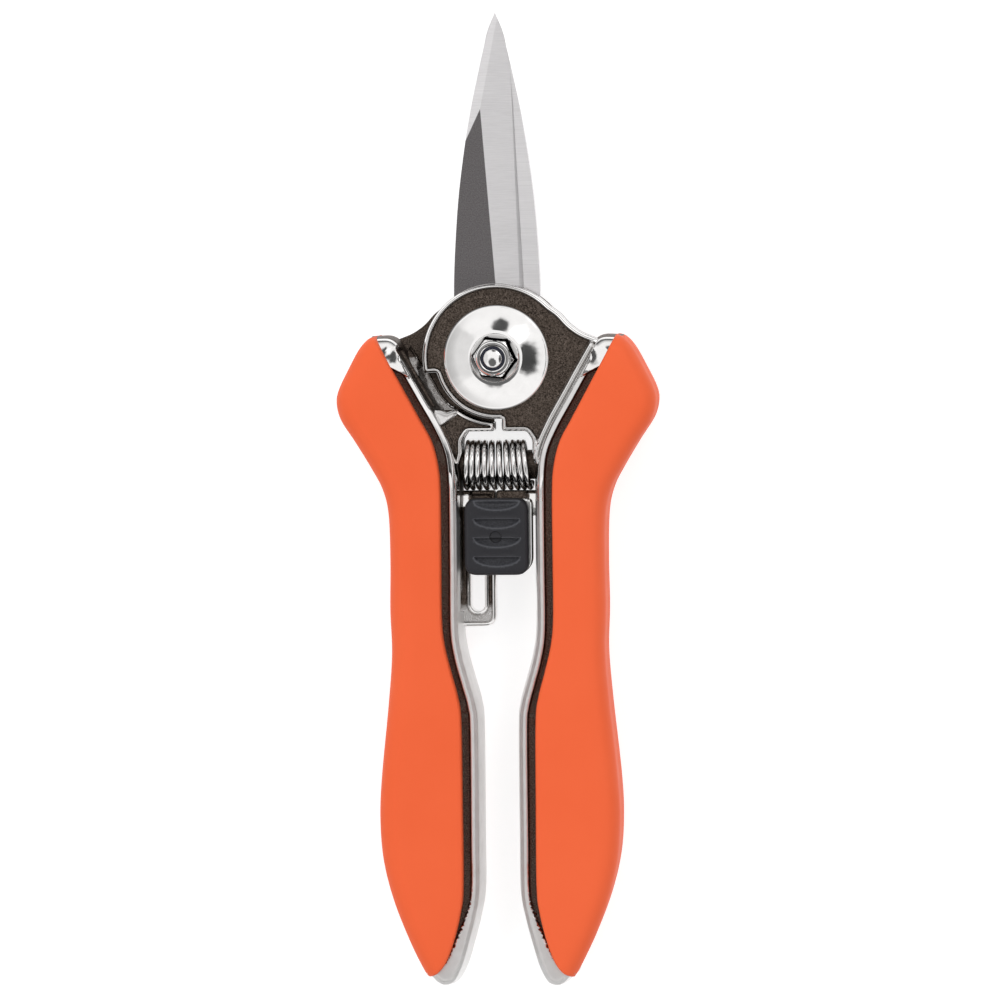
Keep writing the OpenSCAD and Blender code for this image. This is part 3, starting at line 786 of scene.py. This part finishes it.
def bracket():
    """Slotted bracket of the left casting that the catch slides on."""
    left, right, low, mid = -7.0, ARM_X, -44.0, -30.0
    edge = np.vstack([eased([(left, ARM_TOP_Y), (right, ARM_TOP_Y), (right, mid)], 0.5, step=0.3)[:-1],
                      eased([(right, mid), (right, low), (left, low)], 1.9, step=0.3)])
    slot_x, half, slot_top, slot_end = -3.6, 1.1, -25.6, -41.5
    slot = np.array(arc(half, 0, 180, (slot_x, slot_top - half))
                    + arc(half, 180, 360, (slot_x, slot_end + half)))
    slot = walk(np.vstack([slot, slot[:1]]), 0.3, True)
    rows = [0.0, 0.06, 0.18, 0.36, 0.54, 0.68, 0.82]
    drop = [0.42, 0.24, 0.06, 0.0, 0.06, 0.26, 0.42]

    def near(p):
        return np.minimum(distance(p, edge), distance(p, slot, True))

    def face(p):
        return 1.5 - np.interp(near(p), rows, drop) - lean(p)

    def hollow(p):
        # The sunk face is darker towards the button, as painted shade under the catch over as-cast
        # texture; the arm under the spring gets painted shade too.
        sunk = step_up(near(p[:, :2]), 0.6, 0.7) * (0.45 + 0.55 * step_up(p[:, 1], -41.5, -38.5))
        return np.maximum(sunk * (lean(p) == 0) * (np.abs(p[:, 2]) > 0.7), spring_shade(p))

    return plate([edge, slot], [(edge, False, rows), (slot, True, rows)], face,
                 lambda p: -face(p), 0.6, hollow)


def catch_lug():
    """Arm and prong of the right casting that the catch's finger stands against."""
    start = ARM_X + 0.14
    edge = eased([(7.0, ARM_TOP_Y), (start, ARM_TOP_Y), (start, -23.7), (1.4, -23.7), (1.4, -25.5),
        (2.9, -25.5), (2.9, -23.7), (5.1, -23.7), (5.1, -26.0), (7.0, -26.0)], 0.3, step=0.25)
    rows = [0.0, 0.06, 0.16, 0.3]
    drop = [0.3, 0.14, 0.03, 0.0]

    def face(p):
        return 1.3 - np.interp(distance(p, edge), rows, drop) - lean(p)

    # The arm is darkened under the spring as painted shade.
    return plate([edge], [(edge, False, rows)], face, lambda p: -face(p), 0.5, spring_shade)


def casting_pieces():
    """Both castings: the left is the right one turned over, its bracket in the lug's place."""
    common = handle_bar() + head() + (guard() + ledge()).turned() + spring_peg()
    right = common + catch_lug()
    left = common.turned() + bracket()
    piece("right_casting", right, CASTING, "right_half", "right_handle")
    piece("left_casting", left, CASTING, "left_half", "left_handle")


# ---------------------------------------------------------------- the grips

def grip():
    """The right grip: broadly rounded outside, tightly along the metal, with a slightly crowned face.

    Half way down the sides runs a fine parting groove.
    """
    loop = np.vstack([grip_side[:-1], grip_edge[::-1][:-1]])
    rises = 1 - np.cos(np.radians(np.arange(0, 91, 15)))
    outer, tight = 2.6, 0.45

    def face(p):
        d_out, d_in = distance(p, grip_side), distance(p, grip_edge)
        crown = 0.12 * np.exp(-np.minimum(d_out, d_in) / 3.0)
        return GRIP_Z - np.minimum(rounding(d_out, outer) + rounding(d_in, tight), 3.2) - crown

    groove = 0.06
    parting = [(0.1, 0.0), (0.25, 0.0), (0.4, 0.0), (0.485, 0.0), (0.495, groove), (0.505, groove),
        (0.515, 0.0), (0.6, 0.0), (0.75, 0.0), (0.9, 0.0)]
    return plate([loop], [(grip_side, False, outer * rises), (grip_edge, False, tight * rises)],
                 face, lambda p: -face(p), 1.3, wall=parting)


def grip_pieces():
    right = grip()
    piece("right_soft_grip", right, GRIP, "right_half", "right_grip", 60)
    piece("left_soft_grip", right.turned(), GRIP, "left_half", "left_grip", 60)


# ---------------------------------------------------------------- the pivot

def washer():
    """Domed washer: a rolled lip, a straight conical flank easing into a flat seat for the nut."""
    lip = [(8.35, 0.0), (8.52, 0.06), (8.6, 0.22), (8.58, 0.42), (8.45, 0.56), (8.2, 0.68)]
    flank = [(8.2 - 3.9 * t, 0.68 + 1.92 * (0.72 * t + 0.28 * math.sin(t * math.pi / 2)))
             for t in np.linspace(0.05, 1, 18)]
    seat = [(3.8, WASHER_H), (0.01, WASHER_H), (0, WASHER_H)]
    return lathe([(0, 0), (0.01, 0)] + lip + flank + seat).moved(z=WASHER_Z)


def nut():
    """Flanged lock nut, made of level rings: a round flange, a hexagon cut by a cone, a round collar.

    Each level is its kind, radius, height and painted shade, which darkens the crevices round the
    hexagon's foot, in the collar and by the ring. A hex ring's radius is the hexagon's at that angle
    plus its own figure, and a cut ring's the smaller of the hexagon's and its own.
    """
    levels = [("round", 3.9, 0, 0), ("round", 4.0, 0.1, 0), ("round", 3.99, 0.5, 0),
        ("round", 3.92, 0.68, 0), ("round", 3.84, 0.76, 0), ("round", 3.74, 0.74, 0.2),
        ("hex", 0.36, 0.64, 0.4), ("hex", 0.31, 0.54, 1), ("hex", 0.0, 0.42, 1), ("hex", 0.0, 0.9, 1),
        ("hex", 0.0, 1.4, 0.2), ("hex", 0.0, 3.18, 0), ("cut", 3.2, 3.3, 0), ("cut", 3.04, 3.38, 0),
        ("cut", 2.93, 3.43, 0.1), ("round", 2.8, 3.46, 0.8), ("round", 2.74, 3.62, 0.8),
        ("round", 2.73, 4.1, 0), ("round", 2.69, 4.3, 0), ("round", 2.58, 4.42, 0),
        ("round", 2.42, 4.42, 0), ("round", 2.33, 4.34, 0.2), ("round", 2.28, 4.24, 0.9),
        ("round", 2.22, 4.24, 0.3), ("round", 2.12, 4.34, 0), ("round", 2.0, 4.3, 0),
        ("round", 1.94, 4.2, 0), ("round", 1.94, 3.9, 0)]
    turns = 240
    half_flats, corner, turned = 2.87, 3.26, math.radians(6)
    a = np.linspace(0, 2 * np.pi, turns, endpoint=False)
    hexagon = half_flats / np.cos((a + turned) % (np.pi / 3) - np.pi / 6)
    hexagon = np.minimum(hexagon, corner)
    rings, level_shade = [], []
    # The fourth figure of a level is painted shade in a crevice.
    for kind, own, z, crevice_shade in levels:
        radius = {"round": 0 * a + own, "hex": hexagon + own, "cut": np.minimum(hexagon, own)}[kind]
        rings.append(np.column_stack([radius * np.cos(a), radius * np.sin(a), 0 * a + z]))
        level_shade.append(0 * a + crevice_shade)
    points, faces = skin(np.stack(rings), (0, 0, 0), (0, 0, levels[-1][2]))
    return Shell(points, faces, np.concatenate(level_shade + [[0.0, 0.0]])).moved(z=NUT_Z)


def locking_ring():
    """Nylon ring in the nut's collar, worn round on its top."""
    low, top = RING_TOP_Z - 0.9, RING_TOP_Z - 0.2
    return lathe([(0, low), (0.01, low), (1.93, low), (1.93, top - 0.08), (1.88, top + 0.02),
        (1.72, top + 0.06), (1.52, top), (0.01, top), (0, top)])


def bolt():
    """Bolt with a domed round head behind, its plain end rounded and just clear of the nut."""
    radius, head_radius, tip = 1.5, 7.4, RING_TOP_Z + 0.1
    dome = [(head_radius * math.sin(a), -4.5 - 1.99 * math.cos(a)) for a in np.linspace(0.1, 1.5, 16)]
    shank = [(head_radius, -4.4), (7.36, -4.05), (7.2, -4.0), (radius, -4.0), (radius, tip),
        (1.49, tip + 0.08), (1.45, tip + 0.15)]
    end = [(r, tip + 0.48 - 0.3 * (r / 1.4)**2) for r in (1.38, 1.25, 1.1, 0.9, 0.7, 0.5, 0.3, 0.15, 0)]
    return lathe([(0, -6.49), (0.4, -6.49)] + dome + shank + end)


def pivot_pieces():
    piece("domed_washer", washer(), PLATE, "left_half", "pivot_washer", 50)
    piece("lock_nut", nut(), PLATE, "left_half", "pivot_nut", 28)
    piece("lock_ring", locking_ring(), NYLON, "left_half", "nut_insert", 50)
    piece("pivot_bolt_turned", bolt(), PLATE, "left_half", "pivot_bolt", 50)


# ---------------------------------------------------------------- the spring

def return_spring():
    """Helix along X, wound closer at both ends, whose turns lean apart a little below its axis.

    With s from -1 to 1 along it, x is half its length times s + 0.06 sin(pi s), and the turn's own
    plane is tipped by 6 degrees times s. Painted shade lies inside the turns and on the wire's flanks
    between them.
    """
    turns, radius, half, wire, sides = 9.6, 3.72, 5.55, 0.475, 20
    a = np.linspace(0, 2 * np.pi * turns, int(turns * 56))
    s = a / a[-1] * 2 - 1
    tip = np.radians(6) * s
    u, v = radius * np.cos(a), radius * np.sin(a)
    x = (s + 0.06 * np.sin(np.pi * s)) * (half - wire) - u * np.sin(tip) - 0.25
    path = np.column_stack([x, SPRING_Y + u * np.cos(tip), v])
    coil = tube(path, wire, sides)
    # inner and flank mark painted shade: the inside of the turns and the wire's flanks facing the
    # neighbouring turns.
    from_axis = np.hypot(coil.points[:, 1] - SPRING_Y, coil.points[:, 2])
    inner = step_up(radius - from_axis, -0.05, 0.25)
    flank = np.abs(np.sin(np.linspace(0, 2 * np.pi, sides, endpoint=False)))
    flank = np.tile(step_up(flank, 0.60, 0.88), len(path))
    coil.paint = np.maximum(inner, np.r_[flank, 1, 1])
    spring = piece("coil_spring", coil, WIRE, None, "return_spring", 60)
    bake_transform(spring)


# ---------------------------------------------------------------- the catch

def catch_button():
    """Thumb button: rounded block with four lens-shaped scoops, straight above and curved below.

    A scoop's lower edge is 1.55 sqrt(1 - (x / 3.75)^2) below its straight one, and it is deepest
    along that one. A low ridge stands above each, and the outlines carry a painted highlight.
    """
    edge = eased([(-5.3, -35.3), (5.05, -35.3), (5.05, -22.9), (-5.3, -22.9)], 2.0, True, 0.25)
    ease, gate_radius = 0.75, 0.95
    scoop_tops = [-23.15, -26.1, -29.2, -32.3]
    half, deep, high = 3.75, 0.75, 1.55
    u = np.linspace(-half, half, 61)

    def bow(x):
        return np.sqrt(np.maximum(1 - (x / half)**2, 0))

    def line(y):
        """A row of points across the button, at one height or at a height for each."""
        return np.column_stack([u, y + 0 * u])

    def scoop(p):
        """Depth at each point, and the painted highlight there."""
        d, lit = np.zeros(len(p)), np.zeros(len(p))
        x, across = p[:, 0], step_up(half - np.abs(p[:, 0]), 0.0, 1.5)
        for top in scoop_tops:
            below = top - p[:, 1]
            t = below / np.maximum(bow(x) * high, 1e-3)
            in_lens = (np.abs(x) < half) & (t > 0) & (t < 1)
            cut = deep * np.sqrt(bow(x)) * (1 - t**2) * step_up(t, 0.0, 0.10)
            d = np.where(in_lens, np.maximum(d, cut), d)
            ridge = np.exp(-(below / 0.9)**2) * (1 - np.exp(-np.abs(below) / 0.25)) * (below < 0)
            d = np.maximum(d, 0.16 * ridge * across)
            lens = np.vstack([line(top), line(top - high * bow(u))[::-1]])
            outline = np.exp(-(distance(p, lens, True) / 0.16)**2) * step_up(t, -0.2, 0.1)
            lit = np.maximum(lit, outline)
            lit = np.where(in_lens, np.maximum(lit, 0.25), lit)
        return d, lit

    def from_gate(p):
        return np.hypot(p[:, 0] - BUTTON_GATE[0], p[:, 1] - BUTTON_GATE[1])

    def face(p):
        d = distance(p, edge, True)
        gate = 0.25 * (from_gate(p) < gate_radius)
        return 6.6 - rounding(d, ease) - scoop(p)[0] * step_up(d, 0.2, 0.9) - gate

    def painted_highlights(p):
        # Painted highlight along the scoops' outlines and faintly inside them; the moulding mark is
        # left darker as painted shade.
        plain = from_gate(p) > gate_radius + 0.02
        return np.where(p[:, 2] > 4.8, (0.2 + 0.8 * scoop(p[:, :2])[1]) * plain, 0.2)

    tops = [line(y - down) for y in scoop_tops for down in (-0.14, 0.0, 0.08, 0.16)]
    shares = (0.2, 0.35, 0.5, 0.65, 0.8, 0.9, 1.0, 1.1)
    bows = [line(y - k * high * bow(u)) for y in scoop_tops for k in shares]
    gate = [np.array(arc(gate_radius + k, 0, 360, BUTTON_GATE))[:-1] for k in (-0.05, 0.05)]
    rows = ease * (1 - np.cos(np.radians(np.arange(0, 91, 15))))
    shell = plate([edge], [(edge, True, rows)], face, lambda p: np.full(len(p), 3.2), 0.4, painted_highlights,
                  extra=tops + bows + gate)
    piece("thumb_button", shell, BLACK, "catch", "catch_button", 40)


def catch_plate():
    """Bright plate under the button, with the finger that stands against the right handle's prong."""
    edge = eased([(-5.05, -35.2), (4.3, -35.2), (5.6, -33.6), (5.6, -23.0), (-5.05, -23.0)],
                 1.0, True, 0.3)
    finger = eased([(3.2, -33.0), (4.8, -33.0), (4.8, -25.7), (3.2, -25.7)], 0.3, True, 0.3)
    rows = [0.0, 0.05, 0.12, 0.22, 0.35]
    drop = [0.3, 0.14, 0.05, 0.01, 0.0]

    def face(p):
        return 3.2 - np.interp(distance(p, edge, True), rows, drop)

    shell = plate([edge], [(edge, True, rows)], face, lambda p: np.full(len(p), 1.55), 1.5)
    shell += plate([finger], [(finger, True, [0.1])], lambda p: np.full(len(p), 1.6),
                   lambda p: np.full(len(p), -1.4))
    piece("catch_slide_plate", shell, PLATE, "catch", "catch_plate")


def catch_back_button():
    """Back half of the catch: a small rounded shoe behind the bracket, with two thumb ribs."""
    edge = eased([(-5.6, -33.4), (-1.6, -33.4), (-1.6, -23.4), (-5.6, -23.4)], 1.4, True, 0.25)
    ease, pitch = 0.45, 1.3
    rows = ease * (1 - np.cos(np.radians(np.arange(0, 91, 18))))

    def face(p):
        d = distance(p, edge, True)
        ribs = (np.cos((p[:, 1] + 31.2) * 2 * np.pi / pitch) > 0.2) * (p[:, 1] < -30.6)
        return -3.1 + rounding(d, ease) + 0.14 * ribs * step_up(d, 0.3, 0.6)

    shell = plate([edge], [(edge, True, rows)], lambda p: np.full(len(p), -1.86), face, 0.3)
    piece("back_shoe", shell, BLACK, "catch", "catch_back_button")


# ---------------------------------------------------------------- put it together

casting_pieces()
grip_pieces()
pivot_pieces()
return_spring()
catch_button()
catch_plate()
catch_back_button()

NODE_FINISH = {"front_blade": blade_steel(1), "rear_blade": blade_steel(-1),
    "front_blade_dowels": STEEL, "rear_blade_dowels": STEEL, "pivot_bush": STEEL,
    "catch_rivet": STEEL, "catch_spring_washer": STEEL}
for node, material in NODE_FINISH.items():
    mesh = frame["nodes"][node].data
    mesh.materials.clear()
    mesh.materials.append(material)


# ---------------------------------------------------------------- floor, light and camera

# Patches in the white tent: direction, half widths along x, y and z, and the light there.
PATCHES = [((-0.087, -0.36, 0.93), (0.40, 0.43, 0.43), 0.14),
    ((0.04, 0.70, 0.72), (0.22, 0.17, 0.17), 0.08),
    ((0.66, -0.05, 0.75), (0.22, 0.42, 0.22), 0.06),
    ((-0.80, 0.05, 0.60), (0.45, 0.55, 0.45), 0.78),
    ((0.45, 0.50, 0.74), (0.20, 0.20, 0.20), 1.9)]


def studio():
    """A wide pale floor under a white tent; the plate also mirrors the tent's dark rim and openings."""
    scene = bpy.context.scene
    scene.view_settings.view_transform = "Standard"
    mesh = bpy.data.meshes.new("floor")
    half = 3.0
    mesh.from_pydata([(-half, -half, 0), (half, -half, 0), (half, half, 0), (-half, half, 0)],
                     [], [(0, 1, 2, 3)])
    floor = bpy.data.objects.new("floor", mesh)
    scene.collection.objects.link(floor)
    f = Finish("pale_floor", Roughness=0.9, Specular_IOR_Level=0.1, Emission_Strength=0.74)
    f.set("Base Color", f.mix(f.noise(3, 2), (0.46, 0.46, 0.46, 1), (0.48, 0.48, 0.48, 1)))
    f.set("Emission Color", (1.0, 1.0, 1.0, 1))
    mesh.materials.append(f.material)

    world = bpy.data.worlds.new("tent")
    world.use_nodes = True
    scene.world = world
    tree = world.node_tree

    def node(kind, *inputs, **settings):
        n = tree.nodes.new("ShaderNode" + kind)
        for key, value in settings.items():
            setattr(n, key, value)
        for socket, value in zip(n.inputs, inputs):
            if isinstance(value, bpy.types.NodeSocket):
                tree.links.new(value, socket)
            else:
                socket.default_value = value
        return n.outputs[0]

    way = node("TexCoord")
    dots = tree.nodes.new("ShaderNodeSeparateXYZ")
    tree.links.new(way, dots.inputs[0])
    light = node("MapRange", dots.outputs["Z"], 0.30, 0.50, 0.10, 1.06)
    ripple = node("Math", node("TexNoise", way, 0.0, 6.0, 4.0, 0.6), 0.5, operation="SUBTRACT")
    ripple = node("Math", ripple, 0.7, operation="MULTIPLY")
    for toward, widths, level in PATCHES:
        away = node("VectorMath", way, tuple(Vector(toward).normalized()), operation="SUBTRACT")
        away = node("VectorMath", away, tuple(1 / w for w in widths), operation="MULTIPLY")
        reach = tree.nodes.new("ShaderNodeVectorMath")
        reach.operation = "LENGTH"
        tree.links.new(away, reach.inputs[0])
        spread = node("Math", reach.outputs["Value"], ripple, operation="ADD")
        shade = node("MapRange", spread, 0.80, 1.05, level, 1.0)
        light = node("Math", light, shade, operation="MULTIPLY")
    backdrop = 0.93
    seen = tree.nodes.new("ShaderNodeLightPath").outputs["Is Camera Ray"]
    light = node("Math", light, node("Math", 1.0, seen, operation="SUBTRACT"), operation="MULTIPLY")
    light = node("Math", light, node("Math", seen, backdrop, operation="MULTIPLY"), operation="ADD")
    tree.links.new(light, tree.nodes["Background"].inputs["Strength"])
    tree.nodes["Background"].inputs["Color"].default_value = (1.0, 0.99, 0.985, 1)

    def lamp(name, place, width, height, watts):
        """A softbox aimed at the tool, not mirrored in its metal."""
        data = bpy.data.lights.new(name, "AREA")
        data.shape, data.size, data.size_y, data.energy = "RECTANGLE", width, height, watts
        obj = bpy.data.objects.new(name, data)
        scene.collection.objects.link(obj)
        obj.visible_glossy = False
        obj.location = place
        obj.rotation_euler = (-Vector(place)).to_track_quat("-Z", "Y").to_euler()

    lamp("left_softbox", (-0.75, 0.1, 0.85), 0.5, 0.9, 3.2)
    lamp("top_softbox", (0.45, 0.6, 0.85), 0.4, 0.4, 2.4)


def camera():
    """Looks almost straight down: a little from the right and from the tips."""
    yaw, nod, roll = math.radians(4.7), math.radians(3.0), math.radians(0.57)
    reach, field_width, sensor = 0.9, 0.1633, 36.0
    target = Vector((0.00006, 0.0, 0.008))
    across, along = math.sin(yaw), math.sin(nod)
    away = Vector((across, along, math.sqrt(1 - across**2 - along**2)))
    up = Vector((math.sin(roll), math.cos(roll), 0))
    right = up.cross(away).normalized()
    up = away.cross(right).normalized()
    data = bpy.data.cameras.new("camera")
    data.sensor_width = sensor
    data.lens = sensor * reach / field_width
    data.clip_start = 0.01
    obj = bpy.data.objects.new("camera", data)
    bpy.context.scene.collection.objects.link(obj)
    turn = Matrix((right, up, away)).transposed().to_4x4()
    obj.matrix_world = Matrix.Translation(target + away * reach) @ turn
    bpy.context.scene.camera = obj


studio()
camera()
